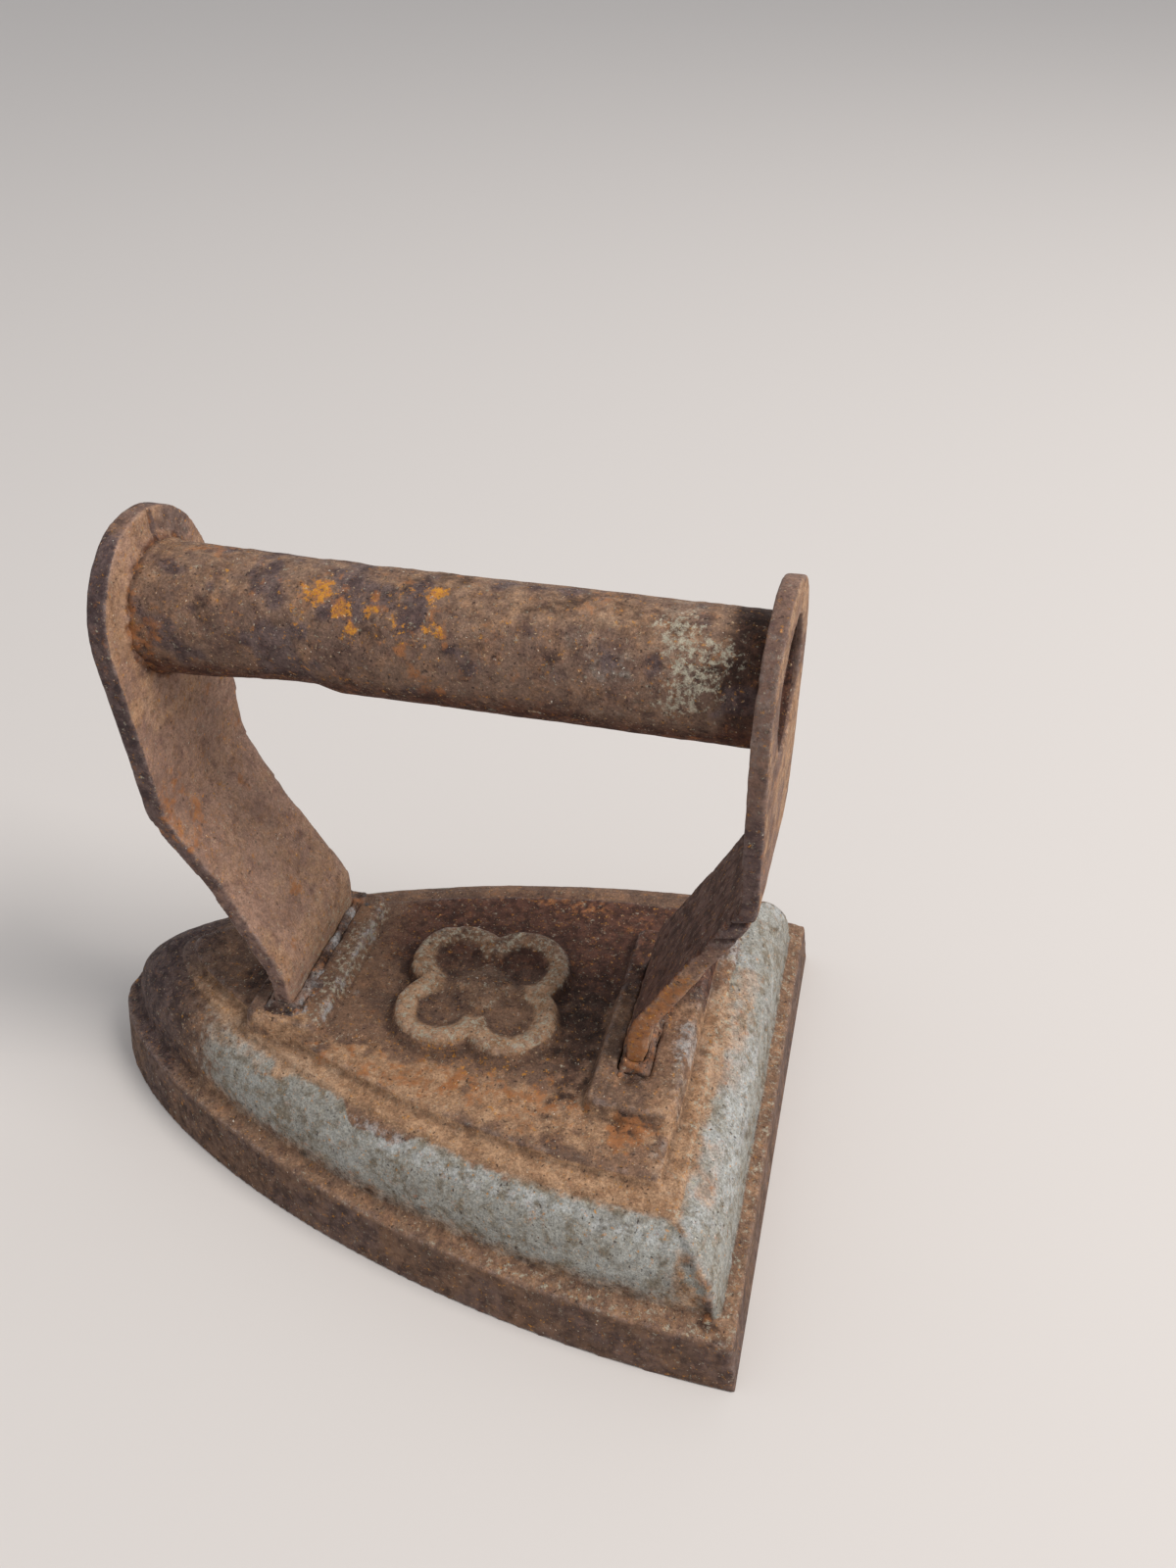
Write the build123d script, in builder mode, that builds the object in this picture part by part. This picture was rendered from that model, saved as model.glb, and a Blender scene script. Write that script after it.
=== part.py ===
from build123d import *
import os

# Solid cast clothes iron heated on a stove, with two forged uprights and a rolled
# sheet-iron handle tube.  Millimetres.  +X runs towards the toe, +Z is up, +Y is the
# iron's left side.  The origin lies under the middle of the sole, at the base.

# ---- sole casting: plan sizes, each level set in from the sole's edge ----
sole_length = 150.0
sole_width = 112.0
side_reach = 0.51       # how far along the side the plan stays wide, as a share of the length
side_swell = 1.0        # slight swell of the side behind that point

sole_toe_pull = 23.8    # bluntness of the toe at each level
band_heel_in = 1.3      # edge band, top
band_side_in = 1.8
band_toe_in = 1.5
band_toe_pull = 19.7
ledge_end_width = 3.3   # flat ledge between the band and the shoulder, at heel and toe
ledge_side_width = 4.3
ledge_toe_pull = 15.7
shoulder_heel_run = 9.4  # plan run of the rounded shoulder
shoulder_side_run = 8.8
shoulder_toe_run = 12.8
rim_toe_pull = 12.0
border_heel_run = 4.2   # flat border round the deck panel
border_side_run = 5.0
border_toe_run = 2.6
deck_toe_pull = 7.7
rim_step_in = 0.5       # plan run of each small riser

# ---- sole casting: heights ----
band_height = 11.8
shoulder_rise = 14.0
rim_rise = 0.9
deck_rise = 1.6

# ---- bosses that hold the uprights ----
rear_boss_toe_x = -39.9  # toe-side top edge of the rear boss
rear_boss_length = 16.5
rear_boss_width = 48.0
rear_boss_rise = 3.0
front_boss_heel_x = 17.0  # heel-side top edge of the front boss
front_boss_length = 15.0
front_boss_width = 40.0
front_boss_rise = 3.6
boss_draft = 14.0       # degrees

# ---- four-lobed ornament between the bosses ----
ornament_x = -12.0
lobe_radius = 10.3
lobe_offset = 7.0       # lobe centres from the ornament's centre, along X and along Y
ornament_rim = 2.6
ornament_rise = 1.4
stud_size = 11.0
stud_rise = 1.0

# ---- handle ----
tube_radius = 11.1
tube_wall = 1.2
tube_axis_z = 112.7
tube_recess = 0.6       # how far each tube end stops short of the eye's outer face
seam_gap = 0.5          # the rolled tube's lengthwise seam, underneath
eye_margin = 6.3        # metal round the tube in each eye
eye_shift = 0.7         # each eye is a little fuller on its left side

# ---- uprights: flat straps bent once near the top and once above the foot ----
front_thickness = 3.7
rear_thickness = 3.2
bend_radius = 12.0
rear_eye_x = -66.6      # mid-thickness of the upper leg
rear_foot_x = -46.9     # mid-thickness of the foot
rear_waist_width = 26.0
rear_foot_width = 27.0
front_eye_x = 43.4
front_foot_x = 25.4
front_waist_width = 29.0
front_foot_width = 32.0
upper_bend_z = 75.8
waist_z = 60.0          # height of the narrowest width
lower_bend_z = 40.2

# ---- how the feet are set ----
tang_depth = 9.0        # below the boss top
socket_margin = 1.6     # room round the tang, filled with caulking
rear_crust_rise = 1.6   # height of the caulking's mound over the boss top
front_crust_rise = 1.2
crust_slope = 30.0      # degrees

# ---- derived values ----
heel_x = -sole_length / 2
toe_x = sole_length / 2
half_width = sole_width / 2
ledge_z = band_height
shoulder_top_z = ledge_z + shoulder_rise
border_z = shoulder_top_z + rim_rise
deck_z = border_z + deck_rise
rear_boss_z = deck_z + rear_boss_rise
front_boss_z = deck_z + front_boss_rise
ledge_heel_in = band_heel_in + ledge_end_width
ledge_side_in = band_side_in + ledge_side_width
ledge_toe_in = band_toe_in + ledge_end_width
rim_heel_in = ledge_heel_in + shoulder_heel_run
rim_side_in = ledge_side_in + shoulder_side_run
rim_toe_in = ledge_toe_in + shoulder_toe_run
deck_heel_in = rim_heel_in + border_heel_run
deck_side_in = rim_side_in + border_side_run
deck_toe_in = rim_toe_in + border_toe_run
eye_radius = tube_radius + eye_margin
tube_rear_x = rear_eye_x - rear_thickness / 2 + tube_recess
tube_front_x = front_eye_x + front_thickness / 2 - tube_recess
tube_length = tube_front_x - tube_rear_x


def plan_at(z, heel_in, side_in, toe_in, toe_pull):
    """Closed plan outline at height z: straight heel, curved sides, rounded toe."""
    back_x = heel_x + heel_in
    tip_x = toe_x - toe_in
    corner_y = half_width - side_in
    reach_x = back_x + side_reach * (tip_x - back_x)
    with BuildSketch(Plane.XY.offset(z)) as plan:
        with BuildLine():
            Bezier((back_x, corner_y), (reach_x, corner_y + side_swell), (tip_x, toe_pull), (tip_x, 0))
            Bezier((tip_x, 0), (tip_x, -toe_pull), (reach_x, -corner_y - side_swell), (back_x, -corner_y))
            Line((back_x, -corner_y), (back_x, corner_y))
        make_face()
    return plan.sketch


def mix(a, b, share):
    """The value that lies the given share of the way from a to b."""
    return a + (b - a) * share


# The shoulder is a quarter round: its sections follow an ellipse from the ledge to the rim.
shoulder_angles = [0, 20, 40, 60, 76, 90]
shoulder_plans = []
for angle in shoulder_angles:
    turn = Vector(1, 0).rotate(Axis.Z, angle)
    run = 1 - turn.X
    shoulder_plans.append(
        plan_at(
            ledge_z + shoulder_rise * turn.Y,
            mix(ledge_heel_in, rim_heel_in, run),
            mix(ledge_side_in, rim_side_in, run),
            mix(ledge_toe_in, rim_toe_in, run),
            mix(ledge_toe_pull, rim_toe_pull, run),
        )
    )

sole_plan = plan_at(0, 0, 0, 0, sole_toe_pull)
band_plan = plan_at(ledge_z, band_heel_in, band_side_in, band_toe_in, band_toe_pull)
rim_plan = plan_at(shoulder_top_z, rim_heel_in, rim_side_in, rim_toe_in, rim_toe_pull)
border_plan = plan_at(
    border_z,
    rim_heel_in + rim_step_in,
    rim_side_in + rim_step_in,
    rim_toe_in + rim_step_in,
    rim_toe_pull,
)
panel_plan = plan_at(border_z, deck_heel_in, deck_side_in, deck_toe_in, deck_toe_pull)
deck_plan = plan_at(
    deck_z,
    deck_heel_in + rim_step_in,
    deck_side_in + rim_step_in,
    deck_toe_in + rim_step_in,
    deck_toe_pull,
)

rear_boss_x = rear_boss_toe_x - rear_boss_length / 2
front_boss_x = front_boss_heel_x + front_boss_length / 2

with BuildPart() as body_casting:
    loft(sections=[sole_plan, band_plan], ruled=True)
    loft(sections=shoulder_plans)
    loft(sections=[rim_plan, border_plan], ruled=True)
    loft(sections=[panel_plan, deck_plan], ruled=True)
    # bosses, drawn at their tops and widening downwards
    with BuildSketch(Plane.XY.offset(rear_boss_z)):
        with Locations((rear_boss_x, 0)):
            RectangleRounded(rear_boss_length, rear_boss_width, 2.0)
    extrude(amount=-rear_boss_rise - deck_rise, taper=-boss_draft)
    with BuildSketch(Plane.XY.offset(front_boss_z)):
        with Locations((front_boss_x, 0)):
            RectangleRounded(front_boss_length, front_boss_width, 2.0)
    extrude(amount=-front_boss_rise - deck_rise, taper=-boss_draft)
    # ornament: a raised rim of four lobes round a plain low stud
    with BuildSketch(Plane.XY.offset(deck_z)):
        with Locations((ornament_x, 0)):
            with GridLocations(2 * lobe_offset, 2 * lobe_offset, 2, 2):
                Circle(lobe_radius)
        offset(amount=-ornament_rim, mode=Mode.SUBTRACT)
    extrude(amount=ornament_rise)
    with BuildSketch(Plane.XY.offset(deck_z)):
        with Locations(Location((ornament_x, 0), 45)):
            Rectangle(stud_size, stud_size)
    extrude(amount=stud_rise, taper=60)
    # sockets for the feet
    with BuildSketch(Plane.XY.offset(rear_boss_z)):
        with Locations((rear_foot_x, 0)):
            Rectangle(rear_thickness + 2 * socket_margin, rear_foot_width + 2 * socket_margin)
    extrude(amount=-tang_depth, mode=Mode.SUBTRACT)
    with BuildSketch(Plane.XY.offset(front_boss_z)):
        with Locations((front_foot_x, 0)):
            Rectangle(front_thickness + 2 * socket_margin, front_foot_width + 2 * socket_margin)
    extrude(amount=-tang_depth, mode=Mode.SUBTRACT)
body_casting.part.label = "body_casting"


def strap(thickness, eye_x, foot_x, boss_z, waist_width, foot_width):
    """A bent flat strap with a round eye; it lies across the iron and is bent fore and aft."""
    foot_z = boss_z - tang_depth
    top_z = tube_axis_z + eye_radius
    heelward = -thickness / 2
    with BuildPart() as upright:
        with BuildSketch(Plane.XZ):
            with BuildLine():
                face = FilletPolyline(
                    (foot_x + heelward, foot_z),
                    (foot_x + heelward, lower_bend_z),
                    (eye_x + heelward, upper_bend_z),
                    (eye_x + heelward, top_z),
                    radius=bend_radius,
                )
                offset(face, amount=thickness, side=Side.RIGHT, closed=True)
            make_face()
        extrude(amount=eye_radius + eye_shift, both=True)
        with BuildSketch(Plane.YZ):
            with Locations((eye_shift, tube_axis_z)):
                Circle(eye_radius)
            with BuildLine():
                Polyline(
                    (-foot_width / 2, foot_z),
                    (foot_width / 2, foot_z),
                    (foot_width / 2, lower_bend_z),
                    (waist_width / 2, waist_z),
                    (eye_shift + eye_radius, tube_axis_z),
                    (eye_shift - eye_radius, tube_axis_z),
                    (-waist_width / 2, waist_z),
                    (-foot_width / 2, lower_bend_z),
                    close=True,
                )
            make_face()
        extrude(amount=sole_length, both=True, mode=Mode.INTERSECT)
        with Locations(Location((eye_x, 0, tube_axis_z), (0, 90, 0))):
            Cylinder(tube_radius, 3 * thickness, mode=Mode.SUBTRACT)
    return upright


rear_upright = strap(
    rear_thickness, rear_eye_x, rear_foot_x, rear_boss_z, rear_waist_width, rear_foot_width
)
rear_upright.part.label = "rear_upright"

front_upright = strap(
    front_thickness, front_eye_x, front_foot_x, front_boss_z, front_waist_width, front_foot_width
)
front_upright.part.label = "front_upright"

with BuildPart() as handle_tube:
    with BuildSketch(Plane.YZ.offset(tube_rear_x)):
        with Locations((0, tube_axis_z)):
            Circle(tube_radius)
            Circle(tube_radius - tube_wall, mode=Mode.SUBTRACT)
        with Locations((0, tube_axis_z - tube_radius)):
            Rectangle(seam_gap, 4 * tube_wall, mode=Mode.SUBTRACT)
    extrude(amount=tube_length)
handle_tube.part.label = "handle_tube"


def caulking(thickness, foot_x, boss_z, foot_width, crust_rise):
    """Fill between a tang and its socket, mounded a little above the boss."""
    foot_z = boss_z - tang_depth
    room_x = thickness + 2 * socket_margin
    room_y = foot_width + 2 * socket_margin
    with BuildPart() as fill:
        with BuildSketch(Plane.XY.offset(foot_z)):
            with Locations((foot_x, 0)):
                Rectangle(room_x, room_y)
        extrude(amount=tang_depth)
        with BuildSketch(Plane.XY.offset(boss_z)):
            with Locations((foot_x, 0)):
                Rectangle(room_x, room_y)
        extrude(amount=crust_rise, taper=crust_slope)
        with BuildSketch(Plane.XY.offset(foot_z)):
            with Locations((foot_x, 0)):
                Rectangle(thickness, foot_width)
        extrude(amount=tang_depth + crust_rise, mode=Mode.SUBTRACT)
    return fill


rear_foot_caulking = caulking(
    rear_thickness, rear_foot_x, rear_boss_z, rear_foot_width, rear_crust_rise
)
rear_foot_caulking.part.label = "rear_foot_caulking"

front_foot_caulking = caulking(
    front_thickness, front_foot_x, front_boss_z, front_foot_width, front_crust_rise
)
front_foot_caulking.part.label = "front_foot_caulking"

os.makedirs("parts", exist_ok=True)
export_step(body_casting.part, "parts/body_casting.step")
export_step(rear_upright.part, "parts/rear_upright.step")
export_step(front_upright.part, "parts/front_upright.step")
export_step(handle_tube.part, "parts/handle_tube.step")
export_step(rear_foot_caulking.part, "parts/rear_foot_caulking.step")
export_step(front_foot_caulking.part, "parts/front_foot_caulking.step")
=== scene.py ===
import math
from types import SimpleNamespace

import bmesh
import bpy
import numpy as np
from mathutils import Matrix, Vector


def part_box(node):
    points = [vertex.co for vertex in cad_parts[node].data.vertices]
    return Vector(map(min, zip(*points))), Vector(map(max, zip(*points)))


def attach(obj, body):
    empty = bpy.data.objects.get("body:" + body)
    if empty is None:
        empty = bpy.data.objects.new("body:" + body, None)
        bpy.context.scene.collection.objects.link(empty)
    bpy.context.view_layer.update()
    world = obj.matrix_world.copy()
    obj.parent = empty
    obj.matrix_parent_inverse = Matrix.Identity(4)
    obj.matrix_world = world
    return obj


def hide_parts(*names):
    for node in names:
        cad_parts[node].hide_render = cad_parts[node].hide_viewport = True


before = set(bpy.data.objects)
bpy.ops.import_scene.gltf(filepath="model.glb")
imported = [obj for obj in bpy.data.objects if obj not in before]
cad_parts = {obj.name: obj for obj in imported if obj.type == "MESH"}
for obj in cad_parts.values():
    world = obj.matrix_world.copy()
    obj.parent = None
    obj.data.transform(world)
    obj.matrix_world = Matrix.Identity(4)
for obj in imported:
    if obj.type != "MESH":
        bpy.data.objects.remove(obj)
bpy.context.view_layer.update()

# An old cast-iron clothes iron, heated on a stove: a sole casting, two forged uprights, a
# rolled handle tube and the caulking round the feet.  +X runs to the toe, +Y is the side that
# faces the camera.  Surface work is done in millimetres and handed to Blender in metres.
MM = 0.001


# =============================== places and levels ===============================
def node_box(node):
    """Lowest and highest corner of a CAD node, in millimetres."""
    low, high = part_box(node)
    return np.array(low) / MM, np.array(high) / MM


body_low, body_high = node_box("body_casting")
tube_low, tube_high = node_box("handle_tube")
front_high = node_box("front_upright")[1]

heel_x = body_low[0]
half_width = body_high[1]
ledge_z = 11.8  # top of the edge band, where the shoulder stands back
shoulder_top_z = 25.8  # where the shoulder ends and the border begins
deck_z = 28.3
rear_boss_x = -45.0
rear_boss_z = 31.3
front_boss_z = 31.9
# places on the near side that rust has eaten: centre, radius and depth
eaten_places = (
    ((-46.0, 17.0, rear_boss_z), 3.0, 0.9),
    ((-49.5, 15.5, rear_boss_z), 1.8, 0.7),
    ((-46.5, 25.6, deck_z), 1.6, 0.5),
    ((-49.5, 26.6, deck_z), 1.3, 0.45),
)

ornament_x = -12.0
ornament_turn = math.radians(4)
ornament_reach = 22.0  # no part of it is farther from its centre
lobe_offset = 7.0
lobe_radius = 10.2
lobe_link = 1.88  # the disc that joins the lobes, as a multiple of their offset
ornament_rise = 3.0  # from the deck up to the crest of the rim
ornament_sink = 1.5  # from the crest down to the floor inside it
stud_rise = 1.5

rear_leg_swell = 0.9  # the lower leg of the rear upright is thicker than its eye
front_leg_swell = -0.9  # and that of the front upright thinner
front_leg_far_swell = 0.9  # the front leg is wider on its far side
rear_eye_skew = 0.038  # the rear eye is turned a little, near side towards the toe
front_eye_thickness = 3.7
front_eye_face_x = front_high[0] - front_eye_thickness  # its face towards the heel
front_crown_rise = 0.5
crack_depth = 0.55
notch_heights = (69.5, 73.5)
notch_depth = 1.1

tube_axis_z = (tube_low[2] + tube_high[2]) / 2
tube_radius = (tube_high[2] - tube_low[2]) / 2
tube_wall = 1.2
seam_gap = 0.5
dent_depth = 1.0
front_flare = 0.45
tube_steps_round = 120
tube_steps_along = 210
# rust-yellow flecks: place along the tube, angle up from level on the near side, reach
bright_flecks = (
    (9, 63, 2.6),
    (4, 46, 1.8),
    (-1, 51, 1.8),
    (2, 29, 1.6),
    (-11, 73, 2.0),
    (-12, 38, 1.6),
)

# the sizes of the even faces that the pieces are made of
body_voxel = 0.58
strap_voxel = 0.42
crust_voxel = 0.40

fillet_rounds = 14
near_rounds = 5
wide_rounds = 28


# =============================== noise ===============================
octave_shift = 17.3
octave_gain = 0.55
noise_stretch = 1.5


def lattice_value(ix, iy, iz, seed):
    """A fixed number from 0 to 1 for each lattice corner."""
    n = (ix * 374761393 + iy * 668265263 + iz * 1440662683 + seed * 974711) & 0xFFFFFFFF
    n = ((n ^ (n >> 13)) * 1274126177) & 0xFFFFFFFF
    n = ((n ^ (n >> 15)) * 2246822519) & 0xFFFFFFFF
    return ((n >> 8) & 0xFFFF) / 65535.0


def lumps(points, size, seed, octaves=1):
    """Smooth noise from about -1 to 1 with lumps of the given size."""
    total = np.zeros(len(points))
    weight_sum = 0.0
    for octave in range(octaves):
        q = points / (size * 0.5**octave) + octave_shift * (octave + 1)
        corner = np.floor(q).astype(np.int64)
        f = q - corner
        f = f * f * (3 - 2 * f)
        value = np.zeros(len(points))
        for dx in (0, 1):
            for dy in (0, 1):
                for dz in (0, 1):
                    share = (
                        (f[:, 0] if dx else 1 - f[:, 0])
                        * (f[:, 1] if dy else 1 - f[:, 1])
                        * (f[:, 2] if dz else 1 - f[:, 2])
                    )
                    value += share * lattice_value(
                        corner[:, 0] + dx, corner[:, 1] + dy, corner[:, 2] + dz, seed + octave
                    )
        weight = octave_gain**octave
        total += weight * (2 * value - 1)
        weight_sum += weight
    return total / weight_sum * noise_stretch


def ease(value, low, high):
    """0 at low and before it, 1 at high and past it, smooth between; low may be the larger."""
    t = np.clip((value - low) / (high - low), 0, 1)
    return t * t * (3 - 2 * t)


def spot(points, centre, radii, wobble, seed):
    """1 at the centre of a soft blot with a ragged rim, 0 outside it."""
    reach = np.linalg.norm((points - np.array(centre)) / np.array(radii), axis=1)
    ragged = reach + wobble * lumps(points, min(radii) * 0.8, seed, 3)
    return ease(ragged, 1.25, 0.45)


# =============================== meshes ===============================
def mesh_arrays(mesh):
    """Vertex places in millimetres and the edges, as arrays."""
    points = np.empty(len(mesh.vertices) * 3)
    mesh.vertices.foreach_get("co", points)
    edges = np.empty(len(mesh.edges) * 2, dtype=np.int32)
    mesh.edges.foreach_get("vertices", edges)
    return points.reshape(-1, 3) / MM, edges.reshape(-1, 2)


def set_points(mesh, points):
    mesh.vertices.foreach_set("co", (points * MM).ravel())
    mesh.update()


def normals_of(mesh):
    normals = np.empty(len(mesh.vertices) * 3)
    mesh.vertices.foreach_get("normal", normals)
    return normals.reshape(-1, 3)


def relaxed(points, edges, rounds):
    """Points moved halfway to the mean of their neighbours, in each round."""
    count = np.bincount(edges.ravel(), minlength=len(points))[:, None]
    a, b = edges[:, 0], edges[:, 1]
    points = points.copy()
    for _ in range(rounds):
        total = np.empty_like(points)
        for axis in range(3):
            column = points[:, axis]
            total[:, axis] = np.bincount(a, column[b], len(points)) + np.bincount(
                b, column[a], len(points)
            )
        points += 0.5 * (total / count - points)
    return points


def new_object(name, mesh):
    piece = bpy.data.objects.new(name, mesh)
    bpy.context.scene.collection.objects.link(piece)
    return piece


def voxel_mesh(name, sources, voxel, snap_to=None):
    """One closed mesh round all the given meshes, with even faces, drawn back onto snap_to."""
    joined = bmesh.new()
    for source in sources:
        joined.from_mesh(source)
    bmesh.ops.remove_doubles(joined, verts=joined.verts, dist=1e-6)
    rough = bpy.data.meshes.new(name + "_rough")
    joined.to_mesh(rough)
    joined.free()
    holder = new_object(name + "_rough", rough)
    remesh = holder.modifiers.new("remesh", "REMESH")
    remesh.mode = "VOXEL"
    remesh.voxel_size = voxel * MM
    remesh.adaptivity = 0.0
    if snap_to:
        snap = holder.modifiers.new("snap", "SHRINKWRAP")
        snap.wrap_method = "NEAREST_SURFACEPOINT"
        snap.target = snap_to
    evaluated = holder.evaluated_get(bpy.context.evaluated_depsgraph_get())
    mesh = bpy.data.meshes.new_from_object(evaluated)
    mesh.name = name
    bpy.data.objects.remove(holder)
    bpy.data.meshes.remove(rough)
    return mesh


def cad_mesh(node):
    """A copy of a CAD node's mesh in the row frame."""
    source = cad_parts[node]
    mesh = source.data.copy()
    mesh.transform(source.matrix_world)
    return mesh


# what a piece's points carry for its material; a piece that leaves one out has none of it
mask_names = (
    "pale",
    "frost_and_highlight",
    "tan",
    "dark",
    "slate",
    "russet",
    "orange",
    "yellow",
    "ash",
    "calm",
    "wear_and_glint",
    "hollow",
)


def finish_piece(name, mesh, masks, material, nodes):
    """Makes the piece from its mesh, stores its masks and ties it to the frame."""
    for mask_name in mask_names:
        values = masks.get(mask_name, np.zeros(len(mesh.vertices)))
        layer = mesh.attributes.new(mask_name, "FLOAT", "POINT")
        layer.data.foreach_set("value", np.clip(values, 0, 1).astype(np.float32))
    mesh.polygons.foreach_set("use_smooth", [True] * len(mesh.polygons))
    mesh.materials.clear()
    mesh.materials.append(material)
    mesh.update()
    piece = new_object(name, mesh)
    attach(piece, "root")
    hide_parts(*nodes)
    return piece


def edge_masks(mesh):
    """The edge mask is high on outer edges and bumps, where edges are worn and a highlight is
    painted; the hollow mask is high in corners and pits, where dark rust and painted shade go.
    """
    points, edges = mesh_arrays(mesh)
    normals = normals_of(mesh)
    near = ((points - relaxed(points, edges, near_rounds)) * normals).sum(axis=1)
    wide = ((points - relaxed(points, edges, wide_rounds)) * normals).sum(axis=1)
    wear_and_glint = ease(0.55 * near + 0.25 * wide, 0.05, 0.26)
    hollow = ease(-(0.55 * near + 0.35 * wide), 0.03, 0.28)
    return wear_and_glint, hollow


def filleted(points, edges, normals, where):
    """Points with their inside corners filled, as a sand mould leaves them."""
    soft = relaxed(points, edges, fillet_rounds)
    inside = ease(((soft - points) * normals).sum(axis=1), 0.02, 0.15)
    return points + (soft - points) * (inside * where)[:, None]


def pit(points, normals, centre, radius, depth):
    """Moves the points near centre inwards to make a shallow crater."""
    away = np.linalg.norm(points - np.array(centre), axis=1)
    return points - normals * (depth * ease(away, radius, radius * 0.2))[:, None]


def scattered_pits(points, normals, seed, candidates, count, widest):
    """Shallow craters at random points; candidates is their indices, or how many there are."""
    picks = np.random.default_rng(seed)
    for start in picks.choice(candidates, count, replace=False):
        radius = picks.uniform(0.7, widest)
        points = pit(points, normals, points[start], radius, picks.uniform(0.10, 0.28))
    return points


def groove(points, normals, start, end, width, depth):
    """A narrow cut along the line from start to end."""
    start, end = np.array(start, float), np.array(end, float)
    along = end - start
    share = np.clip(((points - start) @ along) / (along @ along), 0, 1)
    away = np.linalg.norm(points - start - share[:, None] * along, axis=1)
    return points - normals * (depth * ease(away, width, width * 0.25))[:, None]


# =============================== materials ===============================
def srgb(red, green, blue):
    """Linear colour for an 8-bit screen colour."""
    out = []
    for channel in (red, green, blue):
        c = channel / 255
        out.append(c / 12.92 if c <= 0.04045 else ((c + 0.055) / 1.055) ** 2.4)
    return (*out, 1.0)


class Shader:
    """A node material built step by step; each method returns a socket."""

    def __init__(self, name):
        self.material = bpy.data.materials.new(name)
        self.material.use_nodes = True
        self.tree = self.material.node_tree
        self.bsdf = self.tree.nodes["Principled BSDF"]
        coords = self.tree.nodes.new("ShaderNodeTexCoord")
        scaled = self.tree.nodes.new("ShaderNodeVectorMath")
        scaled.operation = "SCALE"
        scaled.inputs["Scale"].default_value = 1 / MM
        self.tree.links.new(coords.outputs["Object"], scaled.inputs[0])
        self.place = scaled.outputs[0]  # object place in millimetres

    def put(self, socket, value):
        if isinstance(value, bpy.types.NodeSocket):
            self.tree.links.new(value, socket)
        else:
            socket.default_value = value

    def noise(self, size, detail, roughness, distortion=0.0):
        node = self.tree.nodes.new("ShaderNodeTexNoise")
        node.inputs["Scale"].default_value = 1 / size
        node.inputs["Detail"].default_value = detail
        node.inputs["Roughness"].default_value = roughness
        node.inputs["Distortion"].default_value = distortion
        self.tree.links.new(self.place, node.inputs["Vector"])
        return node.outputs["Fac"]

    def math(self, operation, a, b, c=0.0):
        node = self.tree.nodes.new("ShaderNodeMath")
        node.operation = operation
        for socket, value in zip(node.inputs, (a, b, c)):
            self.put(socket, value)
        return node.outputs[0]

    def step(self, value, low, high, bottom=0.0, top=1.0):
        """Smooth step of value from low to high, giving bottom to top."""
        node = self.tree.nodes.new("ShaderNodeMapRange")
        node.interpolation_type = "SMOOTHSTEP"
        self.put(node.inputs["Value"], value)
        node.inputs["From Min"].default_value = low
        node.inputs["From Max"].default_value = high
        node.inputs["To Min"].default_value = bottom
        node.inputs["To Max"].default_value = top
        return node.outputs["Result"]

    def mask(self, name):
        node = self.tree.nodes.new("ShaderNodeAttribute")
        node.attribute_name = name
        return node.outputs["Fac"]

    def mix(self, a, b, share):
        node = self.tree.nodes.new("ShaderNodeMix")
        node.data_type = "RGBA"
        self.put(node.inputs["Factor"], share)
        self.put(node.inputs[6], a)
        self.put(node.inputs[7], b)
        return node.outputs[2]

    def blend(self, a, b, value, low, high, share=1.0):
        """Colour a where value is low, and the given share of b where it is high."""
        return self.mix(a, b, self.step(value, low, high, 0.0, share))

    def shade(self, colour, factor):
        """Colour made lighter or darker by a number."""
        node = self.tree.nodes.new("ShaderNodeVectorMath")
        node.operation = "SCALE"
        self.put(node.inputs[0], colour)
        self.put(node.inputs["Scale"], factor)
        return node.outputs[0]

    def blot(self, mask_name, ragged, spread, edge):
        """A painted mask whose rim is broken up by noise."""
        shifted = self.math("MULTIPLY_ADD", ragged, spread, -0.5 * spread)
        share = self.math("ADD", self.mask(mask_name), shifted)
        return self.step(share, 0.5 - edge, 0.5 + edge)


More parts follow.
